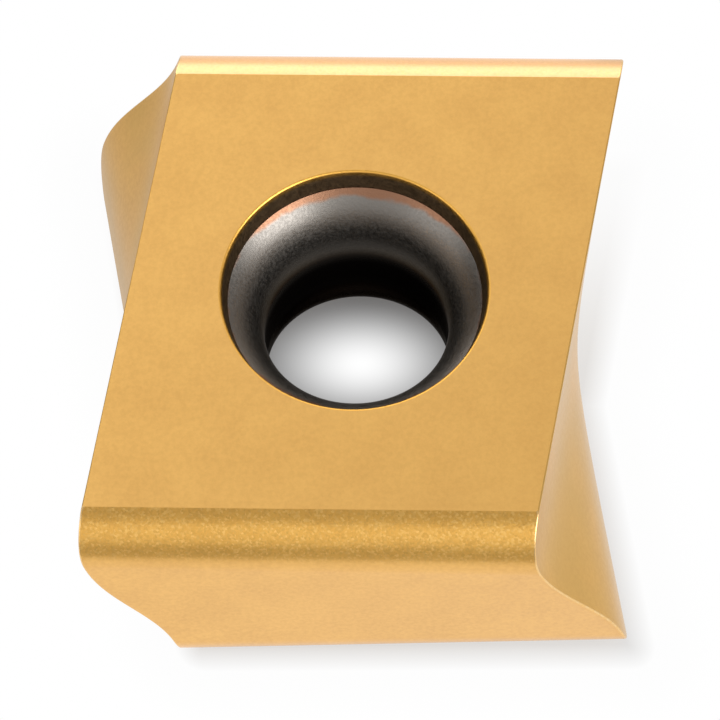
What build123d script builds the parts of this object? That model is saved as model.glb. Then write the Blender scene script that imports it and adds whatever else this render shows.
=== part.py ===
from build123d import *
import os
from math import acos, sin, tanh

# Double-sided helical milling insert of cemented carbide, pressed and ground as one
# solid. Millimetres. Z is the axis of the screw hole, Y runs along the cutting edges
# and X goes from rake face to rake face. The origin is on that axis, in the plane of
# the lower seating face. A half turn about X, Y or Z through the centre brings the
# insert back onto itself, so each of its four long edges can be indexed to cut.

# Envelope
length = 10.54  # over the end faces at mid width
width = 8.27  # across the rake faces at mid length
thickness = 4.76  # between the two ground seating faces

# Helical rake faces
edge_lead = 0.913  # sideways run of a long edge from mid length to the end face
flank_bend = 1.8  # how early the S-shaped flank turns upright towards its edges
rake_hollow = 0.06  # depth of the shallow hollow across the middle of a rake face

# End faces and the nose bands that lead into them
nose_radius = 1.0
seat_grind = 0.022  # ground off the pressed blank to make each seating face
end_twist = 0.12  # lean of the pressed end face at its four corners

# Screw hole, the same from both sides
neck_diameter = 3.40  # clearance for an M3 screw
trumpet_radius = 1.45  # curve that the screw head beds on
rim_diameter = 4.90  # where the hole breaks out of a seating face
rim_depth = 0.40  # steep wall from the rim down to the trumpet
rim_taper = 0.12  # how far that wall closes in on the way down
rim_round = 0.05  # broken edge of the rim

# Honed cutting edges
edge_hone = 0.03

half_length = length / 2
half_width = width / 2
half_thickness = thickness / 2
blank_half_thickness = half_thickness + seat_grind
overrun = 0.30  # how far each construction shape reaches past what trims it
flank_stations = (-1, -0.7, -0.35, 0, 0.35, 0.7, 1)
section_stations = (-1, 0, 1)


def flank_points(side, along):
    """Points up one flank of the cross-section at a place along the insert.

    side is -1 or 1, and along is that place as a fraction of half_length.
    """
    points = []
    for station in flank_stations:
        height = station * (blank_half_thickness + overrun)
        rise = height / half_thickness
        hollow = rake_hollow * (1 - rise**2) * (1 - along**2)
        swing = edge_lead * along * tanh(flank_bend * rise) / tanh(flank_bend)
        points.append((side * (half_width - hollow) + swing, height))
    return points


def hole_profile():
    """Corners of the upper half of the screw hole, as (radius, height) pairs."""
    neck = neck_diameter / 2
    rim = rim_diameter / 2
    mouth = rim - rim_taper
    turn = acos(1 - (mouth - neck) / trumpet_radius)
    mouth_height = half_thickness - rim_depth
    neck_height = mouth_height - trumpet_radius * sin(turn)
    outside = (rim + rim_taper / rim_depth * overrun, half_thickness + overrun)
    return (neck, neck_height), (mouth, mouth_height), outside


with BuildPart() as insert:
    # Twisted blank: S-sided cross-sections that swing over from one end to the other
    for along in section_stations:
        reach = along * (half_length + overrun)
        section = Plane((0, reach, half_thickness), x_dir=(1, 0, 0), z_dir=(0, -1, 0))
        with BuildSketch(section):
            with BuildLine():
                left = Spline(*flank_points(-1, reach / half_length))
                right = Spline(*flank_points(1, reach / half_length))
                Line(left @ 0, right @ 0)
                Line(left @ 1, right @ 1)
            make_face()
    loft()

    # End profile with its nose bands, leaning one way on the left and the other way
    # on the right, so that the end faces come out twisted. The ground seating faces
    # cut into the bands, which leaves the crisp line where each band starts.
    side_reach = half_width + edge_lead + overrun
    lean_tip = end_twist * side_reach / half_width * blank_half_thickness / half_thickness
    for side in (-1, 1):
        lean = side * lean_tip
        profile = Plane((side * side_reach, 0, half_thickness), x_dir=(0, 1, 0), z_dir=(1, 0, 0))
        with BuildSketch(profile):
            with BuildLine():
                Polyline(
                    (-half_length - lean, blank_half_thickness),
                    (half_length - lean, blank_half_thickness),
                    (half_length + lean, -blank_half_thickness),
                    (-half_length + lean, -blank_half_thickness),
                    close=True,
                )
            make_face()
            fillet(vertices(), nose_radius)
            Rectangle(2 * length, thickness, mode=Mode.INTERSECT)
    loft(ruled=True, mode=Mode.INTERSECT)

    # Hone along every edge of both rake faces
    rake_faces = faces().sort_by(Axis.X)
    fillet(rake_faces[0].edges() + rake_faces[-1].edges(), edge_hone)

    # Seating faces ground to true planes inside their honed outlines
    skin = faces().sort_by(Axis.Z)
    ground = [Face(skin[0].outer_wire()), Face(skin[-1].outer_wire())]
    add(Solid(Shell(ground + skin[1:-1])), mode=Mode.REPLACE)

    # Screw hole: neck, trumpet seat and steep rim wall, mirrored about mid thickness
    neck_corner, mouth_corner, outside_corner = hole_profile()
    hole_plane = Plane((0, 0, half_thickness), x_dir=(1, 0, 0), z_dir=(0, -1, 0))
    with BuildSketch(hole_plane):
        with BuildLine():
            Line((neck_corner[0], 0), neck_corner)
            RadiusArc(neck_corner, mouth_corner, trumpet_radius)
            Line(mouth_corner, outside_corner)
            Line(outside_corner, (0, outside_corner[1]))
            mirror(about=Plane.XZ)
            Line((0, outside_corner[1]), (0, -outside_corner[1]))
        make_face()
    revolve(axis=Axis.Z, mode=Mode.SUBTRACT)

    # Broken edge where the hole meets each seating face
    seats = faces().sort_by(Axis.Z)
    rims = [seat.inner_wires()[0].edge() for seat in (seats[0], seats[-1])]
    fillet(rims, rim_round)

insert.part.label = "insert_body"
os.makedirs("parts", exist_ok=True)
export_step(insert.part, "parts/insert_body.step")
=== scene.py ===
"""Visual model of a double-sided helical milling insert of coated cemented carbide.

The insert is one body. Its skin is swept slice by slice from the lower seating face to
the upper one, carried over the rim, and turned down through the screw hole, so that the
whole surface is a single closed grid with true hones, nose bands and trumpet curves.
"""

import logging
import math
from dataclasses import dataclass, field
from enum import Enum, IntEnum

import bpy
import numpy as np
from mathutils import Matrix, Vector


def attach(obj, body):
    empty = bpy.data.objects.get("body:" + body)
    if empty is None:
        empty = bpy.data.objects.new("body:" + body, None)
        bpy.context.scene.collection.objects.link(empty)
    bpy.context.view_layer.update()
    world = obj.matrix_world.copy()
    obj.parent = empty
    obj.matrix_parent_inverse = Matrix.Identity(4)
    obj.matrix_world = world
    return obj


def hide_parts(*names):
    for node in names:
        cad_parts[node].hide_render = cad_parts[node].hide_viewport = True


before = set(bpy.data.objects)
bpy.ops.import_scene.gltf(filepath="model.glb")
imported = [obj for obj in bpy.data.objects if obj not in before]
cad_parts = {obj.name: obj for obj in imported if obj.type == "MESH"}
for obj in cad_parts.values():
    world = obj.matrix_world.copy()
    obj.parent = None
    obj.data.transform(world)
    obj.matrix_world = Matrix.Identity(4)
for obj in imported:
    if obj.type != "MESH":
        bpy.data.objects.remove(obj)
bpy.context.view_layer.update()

logging.basicConfig(level=logging.INFO, format="%(name)s: %(message)s")
log = logging.getLogger("insert")

MM = 0.001
UM = 0.000001
LAMP_WATTS = 4.0  # watts that give a square metre of area lamp a radiance of 1
CARD_LIFT = 0.02 * MM
UP = Vector((0.0, 0.0, 1.0))
BLACK = (0.0, 0.0, 0.0, 1.0)
WHITE = (1.0, 1.0, 1.0, 1.0)

Colour = tuple[float, float, float]
Range = tuple[float, float]
Material = bpy.types.Material
Node = bpy.types.Node
Object = bpy.types.Object
Socket = bpy.types.NodeSocket
Tree = bpy.types.NodeTree


class Region(IntEnum):
    """Part of the insert's skin, which is also its material slot."""

    COATING = 0
    NOSE_BAND = 1
    HOLE_WALL = 2
    RAKE_FACE = 3
    HONED_EDGE = 4


class RayKind(Enum):
    """Kinds of ray that a stage piece can answer, by Blender's property name."""

    CAMERA = "visible_camera"
    DIFFUSE = "visible_diffuse"
    GLOSSY = "visible_glossy"
    TRANSMISSION = "visible_transmission"
    SHADOW = "visible_shadow"


# ---- Node helpers ----


@dataclass
class NodeBench:
    """Small helper that places and wires nodes in one tree."""

    tree: Tree

    def add(self, kind: str, label: str = "", **settings: object) -> Node:
        """Adds a node.

        Args:
            kind: Blender's node type name.
            label: A plain label for the node.
            **settings: Properties set on the node itself.

        Returns:
            The new node.
        """
        node = self.tree.nodes.new(kind)
        node.label = label
        for name, value in settings.items():
            setattr(node, name, value)
        return node

    def wire(self, source: Socket, target: Socket) -> None:
        """Links one socket to another."""
        self.tree.links.new(source, target)

    @staticmethod
    def set(node: Node, **values: object) -> None:
        """Sets a node's inputs, which are named with underscores for spaces."""
        for name, value in values.items():
            node.inputs[name.replace("_", " ")].default_value = value

    def math(self, operation: str, *terms: Socket | float, clamp: bool = False) -> Socket:
        """Adds a math node.

        Args:
            operation: The math operation's name.
            *terms: Its inputs, sockets or numbers.
            clamp: Whether the result is kept between 0 and 1.

        Returns:
            The node's output socket.
        """
        node = self.add("ShaderNodeMath", operation=operation, use_clamp=clamp)
        for socket, value in zip(node.inputs, terms):
            if isinstance(value, Socket):
                self.wire(value, socket)
            else:
                socket.default_value = value
        return node.outputs[0]

    def ramp(
        self, value: Socket, low: float, high: float, out_low: float = 0.0, out_high: float = 1.0
    ) -> Socket:
        """Maps a value smoothly from one range to another.

        Args:
            value: The socket to map.
            low: Input at the start of the range.
            high: Input at the end of the range.
            out_low: Output at the start.
            out_high: Output at the end.

        Returns:
            The mapped socket.
        """
        node = self.add("ShaderNodeMapRange", interpolation_type="SMOOTHSTEP", clamp=True)
        self.wire(value, node.inputs["Value"])
        self.set(node, From_Min=low, From_Max=high, To_Min=out_low, To_Max=out_high)
        return node.outputs["Result"]

    def blend(self, factor: Socket, first: Colour | Socket, second: Colour | Socket) -> Socket:
        """Mixes two colours.

        Args:
            factor: How much of the second colour shows.
            first: The first colour, linear RGB or a socket.
            second: The second colour.

        Returns:
            The mixed colour's socket.
        """
        node = self.add("ShaderNodeMix", data_type="RGBA")
        self.wire(factor, node.inputs["Factor"])
        for socket, colour in ((node.inputs[6], first), (node.inputs[7], second)):
            if isinstance(colour, Socket):
                self.wire(colour, socket)
            else:
                socket.default_value = (*colour, 1.0)
        return node.outputs[2]

    def reach(self, across: Socket, along: Socket) -> Socket:
        """Adds the straight distance that two offsets at right angles make."""
        square = self.math("MULTIPLY_ADD", across, across, self.math("MULTIPLY", along, along))
        return self.math("SQRT", square)

    def position(self) -> Socket:
        """Adds the place of a point in the object's own space."""
        return self.add("ShaderNodeTexCoord").outputs["Object"]

    def split_position(self) -> Node:
        """Adds the place of a point in the object's own space, split into X, Y and Z.

        Returns:
            The node with the three outputs.
        """
        split = self.add("ShaderNodeSeparateXYZ")
        self.wire(self.position(), split.inputs[0])
        return split

    def effect(self, group: Tree, **values: float) -> Node:
        """Places a shared effect.

        Args:
            group: The effect's node group.
            **values: Its inputs, with underscores for spaces in the names.

        Returns:
            The group node.
        """
        node = self.add("ShaderNodeGroup", label=group.name, node_tree=group)
        self.set(node, **values)
        return node

    def relief(self, height: Socket, depth: float, shader: Node) -> None:
        """Presses a height pattern into the shading.

        Args:
            height: The pattern, from 0 to 1.
            depth: Its depth in metres.
            shader: The Principled shader.
        """
        bump = self.add("ShaderNodeBump", label="relief")
        self.set(bump, Strength=1.0, Distance=depth)
        self.wire(height, bump.inputs["Height"])
        self.wire(bump.outputs["Normal"], shader.inputs["Normal"])


def new_group(
    name: str, inputs: dict[str, float], outputs: tuple[str, ...]
) -> tuple[NodeBench, Node, Node]:
    """Starts a shader node group with float sockets.

    Args:
        name: The group's name.
        inputs: Input names with their default values.
        outputs: Output names.

    Returns:
        A bench on the group's tree, its input node and its output node.
    """
    tree = bpy.data.node_groups.new(name, "ShaderNodeTree")
    for label, value in inputs.items():
        socket = tree.interface.new_socket(label, in_out="INPUT", socket_type="NodeSocketFloat")
        socket.default_value = value
    for label in outputs:
        tree.interface.new_socket(label, in_out="OUTPUT", socket_type="NodeSocketFloat")
    bench = NodeBench(tree)
    return bench, bench.add("NodeGroupInput"), bench.add("NodeGroupOutput")


def new_material(name: str) -> tuple[Material, NodeBench, Node]:
    """Starts a material.

    Args:
        name: The material's name.

    Returns:
        The material, a bench on its nodes and its Principled shader.
    """
    material = bpy.data.materials.new(name)
    material.use_nodes = True
    return material, NodeBench(material.node_tree), material.node_tree.nodes["Principled BSDF"]


# ---- Surface effects shared by the finishes ----


@dataclass
class SurfaceEffects:
    """Node groups that more than one finish uses.

    The texture of a noise is its detail and its roughness.
    """

    cloud_texture: Range = (2.0, 0.55)
    speck_texture: Range = (3.0, 0.65)
    grain_texture: Range = (1.5, 0.6)
    noise_range: Range = (0.25, 0.75)
    cell_dent: float = 0.4
    glint_cells: Range = (0.45, 1.0)
    glint_most: float = 0.75
    pit_cells: Range = (0.35, 1.0)
    pit_most: float = 0.65
    mid_height: float = 2.38 * MM
    end_blend: float = 1.0 * MM
    mottle: Tree = field(init=False)
    grain: Tree = field(init=False)
    place: Tree = field(init=False)

    def __post_init__(self) -> None:
        """Builds the groups."""
        self.mottle = self.build_mottle()
        self.grain = self.build_grain()
        self.place = self.build_place()

    @staticmethod
    def noise(bench: NodeBench, label: str, scale: Socket, texture: Range) -> Socket:
        """Adds a noise that fills the object's own space.

        Args:
            bench: The group's bench.
            label: A plain label for the node.
            scale: The socket with its scale.
            texture: Its detail and its roughness.

        Returns:
            The noise's socket.
        """
        node = bench.add("ShaderNodeTexNoise", label=label)
        bench.wire(bench.position(), node.inputs["Vector"])
        bench.wire(scale, node.inputs["Scale"])
        bench.set(node, Detail=texture[0], Roughness=texture[1])
        return node.outputs["Fac"]

    def build_mottle(self) -> Tree:
        """Soft clouds and fine specks of a vapour-deposited coating.

        Returns:
            A group with inputs Cloud Scale and Speck Scale, and outputs Clouds and Specks.
        """
        bench, start, end = new_group(
            "coating_mottle", {"Cloud Scale": 900.0, "Speck Scale": 9000.0}, ("Clouds", "Specks")
        )
        for scale, output, texture in (
            ("Cloud Scale", "Clouds", self.cloud_texture),
            ("Speck Scale", "Specks", self.speck_texture),
        ):
            value = self.noise(bench, output, start.outputs[scale], texture)
            bench.wire(bench.ramp(value, *self.noise_range), end.inputs[output])
        return bench.tree

    def build_grain(self) -> Tree:
        """Pebbled relief of a pressed and sintered surface.

        Returns:
            A group with input Grain Scale, and outputs Height, Glint and Pits.
        """
        names = ("Height", "Glint", "Pits")
        bench, start, end = new_group("pressed_grain", {"Grain Scale": 25000.0}, names)
        scale = start.outputs["Grain Scale"]
        coarse = self.noise(bench, "coarse grains", scale, self.grain_texture)
        cells = bench.add("ShaderNodeTexVoronoi", label="carbide cells")
        bench.wire(bench.position(), cells.inputs["Vector"])
        bench.wire(scale, cells.inputs["Scale"])
        split = bench.add("ShaderNodeSeparateColor")
        bench.wire(cells.outputs["Color"], split.inputs[0])
        values = (
            bench.math("MULTIPLY_ADD", cells.outputs["Distance"], -self.cell_dent, coarse),
            bench.ramp(split.outputs["Red"], *self.glint_cells, 0.0, self.glint_most),
            bench.ramp(split.outputs["Green"], *self.pit_cells, 0.0, self.pit_most),
        )
        for name, value in zip(names, values):
            bench.wire(value, end.inputs[name])
        return bench.tree

    def build_place(self) -> Tree:
        """Where a point lies on the insert, in metres.

        Returns:
            A group with input Mid Height, and outputs Depth, from the mid plane, Height,
            above it, Along, from mid length, and Far, which is 1 on the far end and 0 on
            the near one.
        """
        names = ("Depth", "Height", "Along", "Far")
        bench, start, end = new_group("place_on_insert", {"Mid Height": self.mid_height}, names)
        split = bench.split_position()
        height = bench.math("SUBTRACT", split.outputs["Z"], start.outputs["Mid Height"])
        values = (
            bench.math("ABSOLUTE", height),
            height,
            bench.math("ABSOLUTE", split.outputs["Y"]),
            bench.ramp(split.outputs["Y"], -self.end_blend, self.end_blend),
        )
        for name, value in zip(names, values):
            bench.wire(value, end.inputs[name])
        return bench.tree


# ---- Finishes ----


@dataclass(frozen=True)
class Finish:
    """Base of the finishes: a named metallic material with one Principled shader."""

    effects: SurfaceEffects

    def make(self) -> Material:
        """Makes the material. Each finish has its own way."""
        raise NotImplementedError

    def start(self, name: str) -> tuple[Material, NodeBench, Node]:
        """Starts the material.

        Args:
            name: The material's name.

        Returns:
            The material, a bench on its nodes and its Principled shader.
        """
        material, bench, shader = new_material(name)
        bench.set(shader, Metallic=1.0)
        return material, bench, shader


@dataclass(frozen=True)
class GoldFinish(Finish):
    """Gold-coloured nitride coating under a clear film, which all the outer faces carry."""

    gold: Colour = (0.91, 0.505, 0.107)
    deep_gold: Colour = (0.775, 0.408, 0.078)
    cloud_scale: float = 1100.0
    cloud_share: float = 0.4
    speck_scale: float = 11000.0
    speck_share: float = 0.6
    speck_relief: float = 0.3 * UM
    roughness: float = 0.33
    roughness_spread: float = 0.03
    edge_tint: Colour = (1.0, 0.80, 0.50)
    coat_weight: float = 1.0
    coat_ior: float = 1.6
    coat_roughness: float = 0.25

    def lay(self, name: str) -> tuple[Material, NodeBench, Node, Node, Socket]:
        """Lays the coating's colour, sheen and clear film.

        Args:
            name: The material's name.

        Returns:
            The material, its bench, its shader, its mottle and its colour's socket.
        """
        material, bench, shader = self.start(name)
        mottle = bench.effect(
            self.effects.mottle, Cloud_Scale=self.cloud_scale, Speck_Scale=self.speck_scale
        )
        mix = bench.math("MULTIPLY", mottle.outputs["Specks"], self.speck_share)
        mix = bench.math("MULTIPLY_ADD", mottle.outputs["Clouds"], self.cloud_share, mix)
        colour = bench.blend(mix, self.gold, self.deep_gold)
        low, high = self.roughness - self.roughness_spread, self.roughness + self.roughness_spread
        rough = bench.ramp(mottle.outputs["Specks"], 0.0, 1.0, low, high)
        bench.wire(rough, shader.inputs["Roughness"])
        bench.set(shader, Specular_Tint=(*self.edge_tint, 1.0), Coat_Weight=self.coat_weight)
        bench.set(shader, Coat_IOR=self.coat_ior, Coat_Roughness=self.coat_roughness)
        return material, bench, shader, mottle, colour


@dataclass(frozen=True)
class SatinCoating(GoldFinish):
    """The coating over ground carbide."""

    def make(self) -> Material:
        """Makes the finish of the seating faces and the flat of the ends.

        Returns:
            The material.
        """
        material, bench, shader, mottle, colour = self.lay("satin_gold_coating")
        bench.wire(colour, shader.inputs["Base Color"])
        bench.relief(mottle.outputs["Specks"], self.speck_relief, shader)
        return material


@dataclass(frozen=True)
class RakeCoating(GoldFinish):
    """The coating in the hollow rake faces, dulled in soft patches."""

    edge_tint: Colour = (1.0, 0.84, 0.52)
    coat_weight: float = 0.78
    patch_gold: Colour = (0.70, 0.405, 0.085)
    patch_scale: float = 420.0
    patch_most: float = 0.9

    def make(self) -> Material:
        """Makes the finish of the two rake faces.

        Returns:
            The material.
        """
        material, bench, shader, mottle, colour = self.lay("hollow_gold_rake")
        patches = bench.effect(self.effects.mottle, Cloud_Scale=self.patch_scale)
        amount = bench.math("MULTIPLY", patches.outputs["Clouds"], self.patch_most)
        bench.wire(bench.blend(amount, colour, self.patch_gold), shader.inputs["Base Color"])
        bench.relief(mottle.outputs["Specks"], self.speck_relief, shader)
        return material


@dataclass(frozen=True)
class HonedEdge(GoldFinish):
    """The coating worn pale and smooth along the honed corners."""

    roughness: float = 0.24
    pale_gold: Colour = (0.95, 0.66, 0.30)
    worn_least: float = 0.15
    worn_specks: float = 0.7

    def make(self) -> Material:
        """Makes the finish of the corners between rake faces and ends.

        Returns:
            The material.
        """
        material, bench, shader, mottle, colour = self.lay("worn_gold_edge")
        specks = mottle.outputs["Specks"]
        worn = bench.math("MULTIPLY_ADD", specks, self.worn_specks, self.worn_least)
        bench.wire(bench.blend(worn, colour, self.pale_gold), shader.inputs["Base Color"])
        return material


@dataclass(frozen=True)
class PressedNose(GoldFinish):
    """The coating over the pebbled, as-pressed skin of the nose bands."""

    near_coat: float = 0.35
    far_grain: float = 0.3
    grain_scale: float = 25000.0
    grain_relief: float = 3.5 * UM
    grain_range: Range = (1.62 * MM, 1.92 * MM)
    dull_gold: Colour = (0.70, 0.375, 0.075)
    glint_gold: Colour = (0.98, 0.60, 0.17)
    # Pale gold of the painted highlight on the far nose band.
    far_highlight_gold: Colour = (0.92, 0.51, 0.25)
    far_highlight_most: float = 0.7

    def make(self) -> Material:
        """Makes the finish of the nose bands, coarse at the near end and less grainy at the far
        one, where a pale painted highlight lies on the band towards the seating faces.

        Returns:
            The material.
        """
        material, bench, shader, _, colour = self.lay("pressed_gold_nose")
        place = bench.effect(self.effects.place)
        grain = bench.effect(self.effects.grain, Grain_Scale=self.grain_scale)
        depth, far = place.outputs["Depth"], place.outputs["Far"]
        banded = bench.ramp(depth, *self.grain_range)
        sheen = bench.math("MAXIMUM", bench.math("SUBTRACT", 1.0, banded), far)
        film = self.coat_weight - self.near_coat
        sheen = bench.math("MULTIPLY_ADD", sheen, film, self.near_coat)
        bench.wire(sheen, shader.inputs["Coat Weight"])
        amount = bench.math("MULTIPLY", banded, bench.ramp(far, 0.0, 1.0, 1.0, self.far_grain))
        # Painted highlight: the far band turns pale towards the seating faces.
        far_highlight = bench.ramp(depth, *self.grain_range, 0.0, self.far_highlight_most)
        for share, extent, tone in (
            (far_highlight, far, self.far_highlight_gold),
            (grain.outputs["Glint"], amount, self.glint_gold),
            (grain.outputs["Pits"], amount, self.dull_gold),
        ):
            colour = bench.blend(bench.math("MULTIPLY", share, extent), colour, tone)
        bench.wire(colour, shader.inputs["Base Color"])
        height = bench.math("MULTIPLY", grain.outputs["Height"], amount)
        bench.relief(height, self.grain_relief, shader)
        return material


@dataclass(frozen=True)
class HoleWall(Finish):
    """Grey satin wall of the screw hole, with painted shade that darkens it to near black
    towards the neck and over the lower half, and a coppery painted reflection line at the
    trumpet's mouth.

    The depths count from the insert's mid plane. The painted shade, matt and blend ranges count
    from the depth of the neck's end, the mouth or the lip.
    """

    edge_tint: Colour = (0.25, 0.23, 0.21)
    lip_gold: Colour = (0.87, 0.475, 0.098)
    wall_brown: Colour = (0.34, 0.23, 0.13)
    # Coppery painted reflection at the trumpet's mouth.
    copper_reflection: Colour = (0.29, 0.15, 0.09)
    grey: Colour = (0.225, 0.207, 0.187)
    # Near black of the painted shade in the neck and the lower half.
    painted_shade: Colour = (0.010, 0.008, 0.007)
    cloud_scale: float = 2600.0
    speck_scale: float = 17000.0
    speck_relief: float = 1.0 * UM
    satin_roughness: Range = (0.32, 0.44)
    matt_roughness: float = 0.65
    neck_depth: float = 0.784 * MM
    # Ranges and shares of the painted shade: round the neck's end, past it for the lower half, and
    # by height.
    neck_shade_fade: Range = (-0.60 * MM, 0.36 * MM)
    neck_matt: Range = (-0.4 * MM, 0.1 * MM)
    lower_shade_lift: float = 0.4 * MM
    upper_half: Range = (-0.4 * MM, 0.8 * MM)
    lower_half_unshaded: float = 0.1
    mouth_depth: float = 1.98 * MM
    line_width: float = 0.11 * MM
    line_widens: Range = (1.0 * MM, 2.2 * MM)
    line_waver: float = 0.05 * MM
    line_blend: Range = (0.0, 0.07 * MM)
    wall_blend: Range = (0.0, 0.03 * MM)
    lip_depth: float = 2.335 * MM
    lip_blend: Range = (-0.09 * MM, 0.01 * MM)

    def make(self) -> Material:
        """Makes the finish of everything inside the rim.

        Returns:
            The material.
        """
        material, bench, shader = self.start("dark_hole_wall")
        place = bench.effect(self.effects.place)
        mottle = bench.effect(
            self.effects.mottle, Cloud_Scale=self.cloud_scale, Speck_Scale=self.speck_scale
        )
        depth, specks = place.outputs["Depth"], mottle.outputs["Specks"]
        # Painted shade: near black towards the neck, and over the lower half except towards the
        # lower mouth.
        unshaded = bench.ramp(depth, *moved(self.neck_shade_fade, self.neck_depth))
        upper = bench.ramp(place.outputs["Height"], *self.upper_half, self.lower_half_unshaded, 1.0)
        wide = bench.ramp(depth, self.neck_depth + self.lower_shade_lift, self.mouth_depth)
        unshaded = bench.math("MULTIPLY", unshaded, bench.math("MAXIMUM", upper, wide))
        colour = bench.blend(unshaded, self.painted_shade, self.grey)
        # Painted reflection: the coppery line at the mouths wavers, and widens from nothing at the
        # sides to full width at the ends.
        waver = bench.math("MULTIPLY_ADD", mottle.outputs["Clouds"], self.line_waver, depth)
        width = bench.ramp(place.outputs["Along"], *self.line_widens, 0.0, self.line_width)
        for value, span, start, tone in (
            (bench.math("ADD", waver, width), self.line_blend, self.mouth_depth, self.copper_reflection),
            (depth, self.wall_blend, self.mouth_depth, self.wall_brown),
            (depth, self.lip_blend, self.lip_depth, self.lip_gold),
        ):
            colour = bench.blend(bench.ramp(value, *moved(span, start)), colour, tone)
        bench.wire(colour, shader.inputs["Base Color"])
        bench.set(shader, Specular_Tint=(*self.edge_tint, 1.0))
        rough = bench.ramp(specks, 0.0, 1.0, *self.satin_roughness)
        neck = moved(self.neck_matt, self.neck_depth)
        matt = bench.ramp(depth, *neck, self.matt_roughness, 0.0)
        bench.wire(bench.math("MAXIMUM", rough, matt), shader.inputs["Roughness"])
        bench.relief(specks, self.speck_relief, shader)
        return material


def moved(span: Range, start: float) -> Range:
    """A range that counted from 0, counted from a new start."""
    return start + span[0], start + span[1]


FINISHES: dict[Region, type[Finish]] = {
    Region.COATING: SatinCoating,
    Region.NOSE_BAND: PressedNose,
    Region.HOLE_WALL: HoleWall,
    Region.RAKE_FACE: RakeCoating,
    Region.HONED_EDGE: HonedEdge,
}


# ---- The insert ----


@dataclass
class BlankForm:
    """Outline of the twisted blank at any height. Lengths are in millimetres."""

    length: float = 10.54
    width: float = 8.27
    thickness: float = 4.76
    edge_lead: float = 0.913
    flank_bend: float = 1.8
    rake_hollow: float = 0.06
    nose_radius: float = 1.0
    seat_grind: float = 0.022
    end_twist: float = 0.12

    @property
    def half(self) -> float:
        """Half the thickness."""
        return self.thickness / 2

    @property
    def arc_height(self) -> float:
        """Height of a nose band's centre above the mid plane."""
        return self.half + self.seat_grind - self.nose_radius

    def flank(self, side: float, y: np.ndarray, height: float) -> np.ndarray:
        """Sideways place of a rake face.

        Args:
            side: -1 for the left face or 1 for the right one.
            y: Places along the insert.
            height: Height above the mid plane.

        Returns:
            X at each place.
        """
        rise = height / self.half
        along = y / (self.length / 2)
        hollow = self.rake_hollow * (1 - rise**2) * (1 - along**2)
        swing = self.edge_lead * along * math.tanh(self.flank_bend * rise)
        return side * (self.width / 2 - hollow) + swing / math.tanh(self.flank_bend)

    def near_end(self, x: np.ndarray, height: float) -> np.ndarray:
        """Place of the near end face, with its nose bands.

        Args:
            x: Places across the insert.
            height: Height above the mid plane.

        Returns:
            Y at each place.
        """
        if height < 0:
            return self.near_end(-x, -height)
        slope = -self.end_twist * x / (self.width / 2) / self.half
        stretch = np.sqrt(1 + slope**2)
        centre = -self.length / 2 + slope * self.arc_height + self.nose_radius * stretch
        above = height - self.arc_height
        arc = centre - np.sqrt(np.maximum(self.nose_radius**2 - above**2, 0.0))
        flat = -self.length / 2 + slope * height
        return np.where(above > self.nose_radius * slope / stretch, arc, flat)

    def end(self, which: float, x: np.ndarray, height: float) -> np.ndarray:
        """Y of the near (-1) or far (1) end face at these X, at a height above the mid plane."""
        return self.near_end(x, height) if which < 0 else -self.near_end(-x, height)


@dataclass
class HoleForm:
    """Half profile of the screw hole, from the rim to mid thickness, in millimetres."""

    neck_radius: float = 1.70
    trumpet_radius: float = 1.45
    rim_radius: float = 2.45
    rim_depth: float = 0.40
    rim_taper: float = 0.12
    rim_round: float = 0.05
    round_steps: int = 8
    wall_steps: int = 5
    trumpet_steps: int = 30
    neck_steps: int = 6

    def profile(self, half_thickness: float) -> tuple[np.ndarray, int]:
        """Radius and height of each ring from the flat face down to mid thickness.

        Args:
            half_thickness: Height of the seating face above the mid plane.

        Returns:
            An array of (radius, height) rows, and the index of the trumpet's mouth in it.
        """
        slant = math.atan2(self.rim_taper, self.rim_depth)
        setback = self.rim_round * math.tan((math.pi / 2 - slant) / 2)
        centre = np.array([self.rim_radius + setback, half_thickness - self.rim_round])
        turn = np.linspace(math.pi / 2, math.pi - slant, self.round_steps + 1)
        lip = centre + self.rim_round * np.stack([np.cos(turn), np.sin(turn)], axis=1)
        mouth = np.array([self.rim_radius - self.rim_taper, half_thickness - self.rim_depth])
        share = np.linspace(0, 1, self.wall_steps + 1)[1:, None]
        wall = lip[-1] + share * (mouth - lip[-1])
        opening = math.acos(1 - (mouth[0] - self.neck_radius) / self.trumpet_radius)
        neck_height = mouth[1] - self.trumpet_radius * math.sin(opening)
        turn = np.linspace(opening, 0, self.trumpet_steps + 1)[1:]
        across = self.neck_radius + self.trumpet_radius * (1 - np.cos(turn))
        trumpet = np.stack([across, neck_height + self.trumpet_radius * np.sin(turn)], axis=1)
        heights = np.linspace(neck_height, 0, self.neck_steps + 1)[1:]
        neck = np.stack([np.full_like(heights, self.neck_radius), heights], axis=1)
        return np.concatenate([lip, wall, trumpet, neck]), len(lip) + len(wall) - 1


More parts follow.
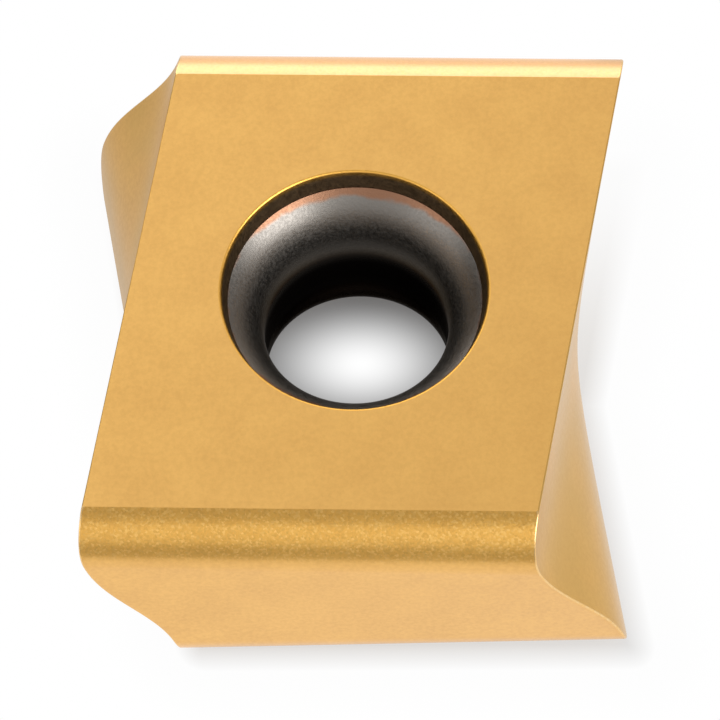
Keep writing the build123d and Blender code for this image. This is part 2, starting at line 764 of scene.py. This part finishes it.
@dataclass
class InsertBody:
    """The whole insert as one closed skin, built from rows of points round the hole's axis.

    Lengths are in millimetres, and nose_turn is in degrees.
    """

    blank: BlankForm = field(default_factory=BlankForm)
    hole: HoleForm = field(default_factory=HoleForm)
    hone: float = 0.03
    hone_steps: int = 6
    nose_steps: int = 30
    flank_steps: int = 44
    end_columns: int = 72
    side_columns: int = 84
    corner_columns: int = 6
    corner_passes: int = 8
    nose_turn: float = 94.0
    probe: float = 0.01

    def heights(self) -> list[tuple[float, float]]:
        """Height of each slice above the mid plane, with the hone's inset there.

        Returns:
            (height, inset) pairs from the lower seating face to the upper one.
        """
        form = self.blank
        turn = np.linspace(math.pi / 2, 0, self.hone_steps + 1)
        top = []
        for angle in turn:
            drop, inset = self.hone * (1 - math.sin(angle)), self.hone * (1 - math.cos(angle))
            top.append((form.half - drop, inset))
        first = math.acos((form.half - self.hone - form.arc_height) / form.nose_radius)
        for angle in np.linspace(first, math.radians(self.nose_turn), self.nose_steps + 1)[1:]:
            top.append((form.arc_height + form.nose_radius * math.cos(angle), 0.0))
        last = top[-1][0]
        middle = [(h, 0.0) for h in np.linspace(last, -last, self.flank_steps + 1)[1:-1]]
        bottom = [(-h, inset) for h, inset in reversed(top)]
        return list(reversed(top + middle + bottom))

    def on_end(self, which: float, x: np.ndarray, height: float) -> np.ndarray:
        """Points on an end face at these X, in the slice at this height."""
        return np.stack([x, self.blank.end(which, x, height)], axis=1)

    def on_rake(self, side: float, y: np.ndarray, height: float, inset: float) -> np.ndarray:
        """Points on a rake face at these Y, in the slice at this height."""
        return np.stack([self.blank.flank(side, y, height) - side * inset, y], axis=1)

    def corner_round(
        self, side: float, which: float, height: float, inset: float
    ) -> tuple[np.ndarray, np.ndarray, np.ndarray]:
        """Round where a rake face meets an end, in one slice.

        Args:
            side: -1 or 1 for the left or right rake face.
            which: -1 or 1 for the near or far end.
            height: Height of the slice above the mid plane.
            inset: How far the hone draws the rake face in.

        Returns:
            Its last point on the end, its last point on the rake face, and its centre.
        """
        x = np.array(side * self.blank.width / 2)
        for _ in range(self.corner_passes):
            y = self.blank.end(which, x, height)
            x = self.blank.flank(side, y, height) - side * inset
        here = np.array([float(x), float(y)])
        beside = np.array([here[0] - side * self.probe])
        along_end = self.on_end(which, beside, height)[0] - here
        beside = np.array([here[1] - which * self.probe])
        along_rake = self.on_rake(side, beside, height, inset)[0] - here
        along_end /= np.linalg.norm(along_end)
        along_rake /= np.linalg.norm(along_rake)
        opening = math.acos(float(np.clip(along_end @ along_rake, -1, 1)))
        reach = self.hone / math.tan(opening / 2)
        bisector = along_end + along_rake
        bisector /= np.linalg.norm(bisector)
        centre = here + bisector * self.hone / math.sin(opening / 2)
        return here + along_end * reach, here + along_rake * reach, centre

    def slice_points(self, height: float, inset: float) -> np.ndarray:
        """One closed loop of points round the insert, anticlockwise from above.

        Args:
            height: Height of the slice above the mid plane.
            inset: How far the hone draws the rake faces in.

        Returns:
            An array of (x, y) rows.
        """
        order = ((-1, -1), (1, -1), (1, 1), (-1, 1))
        rounds = [self.corner_round(side, which, height, inset) for side, which in order]
        loop = []
        for number, (side, which) in enumerate(order):
            end_here, rake_here, centre = rounds[number]
            end_next, rake_next, _ = rounds[(number + 1) % len(order)]
            if side == which:
                loop.append(self.arc(centre, rake_here, end_here))
                x = np.linspace(end_here[0], end_next[0], self.end_columns + 1)[1:-1]
                loop.append(self.on_end(which, x, height))
            else:
                loop.append(self.arc(centre, end_here, rake_here))
                y = np.linspace(rake_here[1], rake_next[1], self.side_columns + 1)[1:-1]
                loop.append(self.on_rake(side, y, height, inset))
        return np.concatenate(loop)

    def arc(self, centre: np.ndarray, begin: np.ndarray, finish: np.ndarray) -> np.ndarray:
        """Points of a corner's round, both tangent points included.

        Args:
            centre: The round's centre.
            begin: Its first point.
            finish: Its last point.

        Returns:
            An array of (x, y) rows.
        """
        first = math.atan2(*(begin - centre)[::-1])
        sweep = math.atan2(*(finish - centre)[::-1]) - first
        sweep = (sweep + math.pi) % (2 * math.pi) - math.pi
        turn = first + sweep * np.linspace(0, 1, self.corner_columns + 1)
        return centre + self.hone * np.stack([np.cos(turn), np.sin(turn)], axis=1)

    def rows(self) -> tuple[np.ndarray, dict[str, int]]:
        """Every row of the skin's grid, from the lower seat's edge round to the lower rim.

        Returns:
            An array of rows by columns by (x, y, z), with Z from the lower seat, and the
            numbers of the rows that start the upper rim and make the two trumpets' mouths.
        """
        form = self.blank
        grid = []
        for height, inset in self.heights():
            loop = self.slice_points(height, inset)
            level = np.full((len(loop), 1), height)
            grid.append(np.concatenate([loop, level], axis=1))
        rim_row = len(grid)
        bearing = np.arctan2(grid[-1][:, 1], grid[-1][:, 0])
        profile, mouth = self.hole.profile(form.half)
        rings = np.concatenate([profile, profile[-2::-1] * (1, -1)])
        for radius, height in rings:
            level = np.full_like(bearing, height)
            ring = (radius * np.cos(bearing), radius * np.sin(bearing), level)
            grid.append(np.stack(ring, axis=1))
        points = np.array(grid)
        points[:, :, 2] += form.half
        marks = {"rim": rim_row, "mouth": rim_row + mouth, "far_mouth": len(grid) - 1 - mouth}
        return points, marks

    def build(self) -> Object:
        """Builds the skin's mesh, with its regions and its crisp lines.

        Returns:
            The insert as a mesh object.
        """
        points, marks = self.rows()
        n_rows, n_columns = points.shape[:2]
        number = np.arange(n_rows * n_columns).reshape(n_rows, n_columns)
        after = np.roll(number, -1, axis=1)
        up = np.roll(number, -1, axis=0)
        up_after = np.roll(after, -1, axis=0)
        quads = np.stack([number, after, up_after, up], axis=2).reshape(-1, 4)
        mesh = bpy.data.meshes.new("insert_skin")
        mesh.from_pydata((points.reshape(-1, 3) * MM).tolist(), [], quads.tolist())
        mesh.polygons.foreach_set("use_smooth", np.ones(len(quads), bool))
        regions = self.regions(points, marks)
        mesh.polygons.foreach_set("material_index", regions.reshape(-1).astype(np.int32))
        crisp = self.crisp_lines(marks, number)
        ends = np.zeros(len(mesh.edges) * 2, np.int32)
        mesh.edges.foreach_get("vertices", ends)
        sharp = [tuple(sorted(pair)) in crisp for pair in ends.reshape(-1, 2).tolist()]
        mesh.edges.foreach_set("use_edge_sharp", sharp)
        mesh.update()
        self.level_seats(mesh, points.shape[:2], marks["rim"])
        return bpy.data.objects.new("insert_skin", mesh)

    def end_columns_of(self, which: float) -> range:
        """Columns of the grid that lie on an end, without the hones beside it.

        Args:
            which: -1 for the near end or 1 for the far one.

        Returns:
            The column numbers.
        """
        start = self.corner_columns
        if which > 0:
            start += 2 * self.corner_columns + self.end_columns + self.side_columns
        return range(start, start + self.end_columns)

    def regions(self, points: np.ndarray, marks: dict[str, int]) -> np.ndarray:
        """Region of each quad.

        Args:
            points: The grid's points.
            marks: The rows that start the rim and the mouth.

        Returns:
            Rows by columns of region numbers.
        """
        found = np.full(points.shape[:2], Region.COATING)
        found[marks["rim"] : -1] = Region.HOLE_WALL
        skirt = found[: marks["rim"] - 1]
        skirt[:] = Region.RAKE_FACE
        height = points[: marks["rim"], 0, 2] - self.blank.half
        banded = np.abs((height[1:] + height[:-1]) / 2) > self.blank.arc_height
        for which in (-1, 1):
            columns = self.end_columns_of(which)
            first, last = columns.start - self.corner_columns, columns.stop + self.corner_columns
            skirt[:, first:last] = Region.HONED_EDGE
            skirt[:, columns.start : columns.stop] = Region.COATING
            skirt[banded, columns.start : columns.stop] = Region.NOSE_BAND
        return found

    def crisp_lines(self, marks: dict[str, int], number: np.ndarray) -> set[tuple[int, int]]:
        """Edges that stay sharp: the outlines of the seats, and the mouths of the trumpets.

        Args:
            marks: The rows that start the rim and the mouth.
            number: Vertex numbers by row and column.

        Returns:
            Sorted vertex pairs.
        """
        lines = set()
        for row in (0, marks["rim"] - 1, marks["mouth"], marks["far_mouth"]):
            ring = number[row].tolist()
            lines.update(tuple(sorted(pair)) for pair in zip(ring, ring[1:] + ring[:1]))
        return lines

    def level_seats(self, mesh: bpy.types.Mesh, shape: tuple[int, int], rim: int) -> None:
        """Gives the seating faces, and the rounds that run into them, exactly level normals.

        Args:
            mesh: The skin's mesh.
            shape: Rows and columns of the grid.
            rim: The row that starts the upper rim.
        """
        flat = np.zeros(len(mesh.loops) * 3, np.float32)
        mesh.corner_normals.foreach_get("vector", flat)
        normals = flat.reshape(shape[0], shape[1], 4, 3)
        rakes = np.ones(shape[1], bool)
        for which in (-1, 1):
            columns = self.end_columns_of(which)
            rakes[columns.start - self.corner_columns : columns.stop + self.corner_columns] = False
        up, down = (0.0, 0.0, 1.0), (0.0, 0.0, -1.0)
        normals[rim - 1] = up
        normals[rim, :, :2] = up
        normals[rim - 2, rakes, 2:] = up
        normals[-1] = down
        normals[-2, :, 2:] = down
        normals[0, rakes, :2] = down
        mesh.normals_split_custom_set(normals.reshape(-1, 3).tolist())

    def dress(self, piece: Object, effects: SurfaceEffects) -> None:
        """Gives each region of the insert its finish."""
        for region in Region:
            piece.data.materials.append(FINISHES[region](effects).make())

    def place(self, effects: SurfaceEffects) -> Object:
        """Builds the insert, dresses it and seats it on its body.

        Args:
            effects: The shared surface effects.

        Returns:
            The insert's object.
        """
        piece = self.build()
        bpy.context.scene.collection.objects.link(piece)
        self.dress(piece, effects)
        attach(piece, "root")
        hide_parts("insert_body")
        return piece


# ---- The stage ----


def toward(azimuth: float, elevation: float) -> Vector:
    """Direction from the insert, in degrees round from the front to the right, and up."""
    a, e = math.radians(azimuth), math.radians(elevation)
    return Vector((math.sin(a) * math.cos(e), -math.cos(a) * math.cos(e), math.sin(e)))


def on_floor(x: float, y: float) -> Vector:
    """A place on the floor, just clear of it."""
    return Vector((x, y, CARD_LIFT))


def put_at(item: Object, place: Vector, facing: Vector) -> None:
    """Puts a lamp or a card in its place.

    Args:
        item: The lamp's or the card's object.
        place: Where its middle goes.
        facing: The direction of its own Z.
    """
    item.location = place
    item.rotation_mode = "QUATERNION"
    item.rotation_quaternion = facing.to_track_quat("Z", "Y")


def sheet(name: str, width: float, height: float) -> Object:
    """Makes a flat rectangle that faces up.

    Args:
        name: The object's name.
        width: Its size along X in metres.
        height: Its size along Y in metres.

    Returns:
        The object, linked to the scene.
    """
    mesh = bpy.data.meshes.new(name)
    w, h = width / 2, height / 2
    mesh.from_pydata([(-w, -h, 0), (w, -h, 0), (w, h, 0), (-w, h, 0)], [], [(0, 1, 2, 3)])
    piece = bpy.data.objects.new(name, mesh)
    bpy.context.scene.collection.objects.link(piece)
    return piece


@dataclass
class SoftBox:
    """A rectangular diffuse lamp that faces the insert. Sizes are in metres."""

    name: str
    azimuth: float
    elevation: float
    width: float
    height: float
    radiance: float
    distance: float = 0.35

    def light(self) -> None:
        """Places the lamp."""
        data = bpy.data.lights.new(self.name, "AREA")
        data.shape = "RECTANGLE"
        data.size, data.size_y = self.width, self.height
        data.energy = LAMP_WATTS * self.radiance * self.width * self.height
        lamp = bpy.data.objects.new(self.name, data)
        back = toward(self.azimuth, self.elevation)
        put_at(lamp, back * self.distance, back)
        lamp.visible_camera = False
        bpy.context.scene.collection.objects.link(lamp)


@dataclass
class Card:
    """A glowing sheet that only reflections show, a painted reflection that stands in for a lit
    grey card round a product table.

    It faces the insert, unless facing says otherwise. A brightness of 1 is white.
    """

    name: str
    place: Vector
    width: float
    height: float
    brightness: float
    facing: Vector | None = None

    def put(self) -> None:
        """Places the card."""
        card = sheet(self.name, self.width, self.height)
        material, bench, shader = new_material(self.name)
        # Painted reflection: a black sheet that glows at the card's brightness.
        bench.set(shader, Base_Color=BLACK, Specular_IOR_Level=0.0)
        bench.set(shader, Emission_Color=WHITE, Emission_Strength=self.brightness)
        card.data.materials.append(material)
        put_at(card, self.place, self.facing or self.place)
        for kind in RayKind:
            setattr(card, kind.value, kind is RayKind.GLOSSY)


def seen_rays(bench: NodeBench) -> Socket:
    """Tells the rays that see the surroundings from the rest.

    Args:
        bench: The tree to build in.

    Returns:
        A mask, 1 for camera, glossy and transmission rays.
    """
    path = bench.add("ShaderNodeLightPath")
    seen = bench.math("MAXIMUM", path.outputs["Is Camera Ray"], path.outputs["Is Glossy Ray"])
    return bench.math("MAXIMUM", seen, path.outputs["Is Transmission Ray"])


@dataclass
class Floor:
    """The pale floor, which runs out into the white surroundings away from the insert.

    Along the insert's outline the white thins to a shadow, partly the floor's own shading and
    partly painted. The edges are those of the insert's outline on the floor, and its side edges
    lean. The gap is the part that shows through the hole, where a painted patch of glow lies on
    the floor.
    """

    reach: float = 1.5
    # The floor's own grey, which shows as shade where the glow thins.
    white: float = 0.40
    right_edge: float = 4.10 * MM
    left_edge: float = 3.75 * MM
    end_edge: float = 4.94 * MM
    lean: float = 0.173
    shadow_width: float = 0.52 * MM
    shadow_ends: Range = (0.0, 5.0 * MM)
    shadow_lost: float = 0.9
    glow_at_edge: float = 0.60
    glow_near: float = 0.98
    glow_far: float = 2.0 * MM
    middle: Range = (2.4 * MM, 3.4 * MM)
    gap: Range = (0.01 * MM, 0.92 * MM)
    gap_stretch: float = 0.66
    gap_reach: float = 1.42 * MM
    gap_edge: float = 0.14

    def lay(self) -> None:
        """Lays the floor."""
        floor = sheet("floor", 2 * self.reach, 2 * self.reach)
        material, bench, shader = new_material("pale_floor")
        own = (self.white, self.white, self.white, 1.0)
        bench.set(shader, Base_Color=own, Roughness=1.0, Specular_IOR_Level=0.0)
        glow = bench.add("ShaderNodeEmission", label="surroundings")
        bench.set(glow, Color=WHITE, Strength=1.0)
        white = bench.math("MAXIMUM", self.outside(bench), self.painted_hole_glow(bench))
        mixer = bench.add("ShaderNodeMixShader")
        bench.wire(bench.math("MULTIPLY", white, seen_rays(bench)), mixer.inputs["Fac"])
        bench.wire(shader.outputs["BSDF"], mixer.inputs[1])
        bench.wire(glow.outputs["Emission"], mixer.inputs[2])
        surface = material.node_tree.nodes["Material Output"].inputs["Surface"]
        bench.wire(mixer.outputs[0], surface)
        floor.data.materials.append(material)

    def outside(self, bench: NodeBench) -> Socket:
        """How far a place on the floor has run out into the white.

        Args:
            bench: The floor's bench.

        Returns:
            0 under the middle of the insert, low along its edges, where it paints a shadow, and 1
            well away from it.
        """
        split = bench.split_position()
        x, y = split.outputs["X"], split.outputs["Y"]
        ahead = bench.math("ABSOLUTE", y)
        edge = bench.math("MULTIPLY_ADD", ahead, self.lean, self.right_edge)
        right = bench.math("SUBTRACT", x, edge)
        edge = bench.math("MULTIPLY_ADD", y, -self.lean, -self.left_edge)
        left = bench.math("SUBTRACT", edge, x)
        beside = bench.math("MAXIMUM", bench.math("MAXIMUM", right, left), 0.0)
        beyond = bench.math("MAXIMUM", bench.math("SUBTRACT", ahead, self.end_edge), 0.0)
        distance = bench.reach(beside, beyond)
        # Painted shadow: the glow rises from the outline across the shadow's width, and most of
        # the shadow is lifted behind the insert.
        rise = self.glow_near - self.glow_at_edge
        near = bench.math("DIVIDE", distance, self.shadow_width, clamp=True)
        near = bench.math("MULTIPLY_ADD", near, rise, self.glow_at_edge)
        behind = bench.ramp(y, *self.shadow_ends, 0.0, self.shadow_lost)
        lack = bench.math("MAXIMUM", bench.math("SUBTRACT", self.glow_near, near), 0.0)
        near = bench.math("MULTIPLY_ADD", behind, lack, near)
        far = bench.ramp(distance, self.shadow_width, self.glow_far, 0.0, 1.0 - self.glow_near)
        clear = bench.ramp(bench.reach(x, y), *self.middle)
        return bench.math("MULTIPLY", bench.math("ADD", near, far), clear)

    def painted_hole_glow(self, bench: NodeBench) -> Socket:
        """How much painted glow lies on the floor at a place seen through the hole.

        Args:
            bench: The floor's bench.

        Returns:
            1 in the middle of the gap, falling away to painted shade towards its edges.
        """
        split = bench.split_position()
        x = bench.math("SUBTRACT", split.outputs["X"], self.gap[0])
        x = bench.math("MULTIPLY", x, self.gap_stretch)
        y = bench.math("SUBTRACT", split.outputs["Y"], self.gap[1])
        return bench.ramp(bench.reach(x, y), 0.0, self.gap_reach, 1.0, self.gap_edge)


@dataclass
class Studio:
    """Floor, surroundings, lamps and cards."""

    floor: Floor = field(default_factory=Floor)
    fill: float = 0.55
    # Name, azimuth, elevation, width, height, radiance.
    lamps: tuple[SoftBox, ...] = (
        SoftBox("back_softbox", 202.0, 24.0, 0.44, 0.24, 0.85),
        SoftBox("side_softbox", 56.0, 36.0, 0.27, 0.235, 3.55),
        SoftBox("left_softbox", 298.0, 34.0, 0.16, 0.16, 0.55),
    )
    # Name, place, width, height, brightness, facing.
    cards: tuple[Card, ...] = (
        Card("overhead_card", toward(0.0, 81.0) * 0.30, 0.30, 0.25, 0.45),
        Card("right_high_card", toward(120.0, 60.0) * 0.12, 0.10, 0.10, 0.55),
        Card("front_card", toward(0.0, 35.0) * 0.30, 0.34, 0.18, 0.85),
        Card("front_low_card", toward(0.0, 5.0) * 0.28, 0.44, 0.09, 0.40),
        Card("left_back_card", toward(246.0, 16.0) * 0.28, 0.24, 0.22, 0.06),
        Card("right_back_card", toward(116.0, 16.0) * 0.28, 0.24, 0.22, 0.32),
        Card("front_floor_card", on_floor(0.0, -0.045), 0.120, 0.058, 0.45, UP),
        Card("right_floor_card", on_floor(0.0245, 0.0100), 0.040, 0.030, 0.80, UP),
        Card("left_floor_card", on_floor(-0.0245, 0.0100), 0.040, 0.030, 0.67, UP),
    )

    def surround(self) -> None:
        """Makes the surroundings white to look at and to reflect, and a plain fill to light by."""
        world = bpy.data.worlds.new("white_surroundings")
        bpy.context.scene.world = world
        world.use_nodes = True
        bench, background = NodeBench(world.node_tree), world.node_tree.nodes["Background"]
        bench.set(background, Color=WHITE)
        strength = bench.math("MULTIPLY_ADD", seen_rays(bench), 1.0 - self.fill, self.fill)
        bench.wire(strength, background.inputs["Strength"])

    def set_up(self) -> None:
        """Places everything but the camera."""
        self.floor.lay()
        self.surround()
        for lamp in self.lamps:
            lamp.light()
        for card in self.cards:
            card.put()
        bpy.context.scene.view_settings.view_transform = "Standard"


@dataclass
class ProductCamera:
    """The long-lens camera that looks down on the insert."""

    azimuth: float = 2.89
    elevation: float = 62.633
    roll: float = -2.869
    distance: float = 0.148555
    lens: float = 401.1
    shift: Range = (0.0036, -0.0150)
    sensor: float = 36.0
    clip: Range = (0.001, 10.0)
    target: tuple[float, float, float] = (0.0, 0.0, 2.38 * MM)

    def place(self) -> Object:
        """Places the camera and makes it the scene's own.

        Returns:
            The camera's object.
        """
        data = bpy.data.cameras.new("product_camera")
        data.lens = self.lens
        data.sensor_width = self.sensor
        data.shift_x, data.shift_y = self.shift
        data.clip_start, data.clip_end = self.clip
        camera = bpy.data.objects.new("product_camera", data)
        back = toward(self.azimuth, self.elevation)
        a, roll = math.radians(self.azimuth), math.radians(self.roll)
        level = Vector((math.cos(a), math.sin(a), 0.0))
        upright = back.cross(level)
        right = math.cos(roll) * level + math.sin(roll) * upright
        top = -math.sin(roll) * level + math.cos(roll) * upright
        turn = Matrix((right, top, back)).transposed().to_4x4()
        camera.matrix_world = Matrix.Translation(Vector(self.target) + back * self.distance) @ turn
        bpy.context.scene.collection.objects.link(camera)
        bpy.context.scene.camera = camera
        return camera


def main() -> None:
    """Builds the insert and the stage, and reports each piece."""
    effects = SurfaceEffects()
    insert = InsertBody().place(effects)
    log.info("%s: %d faces, %d finishes", insert.name, len(insert.data.polygons), len(Region))
    studio = Studio()
    studio.set_up()
    log.info("studio: %d lamps, %d cards", len(studio.lamps), len(studio.cards))
    camera = ProductCamera().place()
    log.info("%s: %.0f mm lens", camera.name, camera.data.lens)


if __name__ == "__main__":
    main()
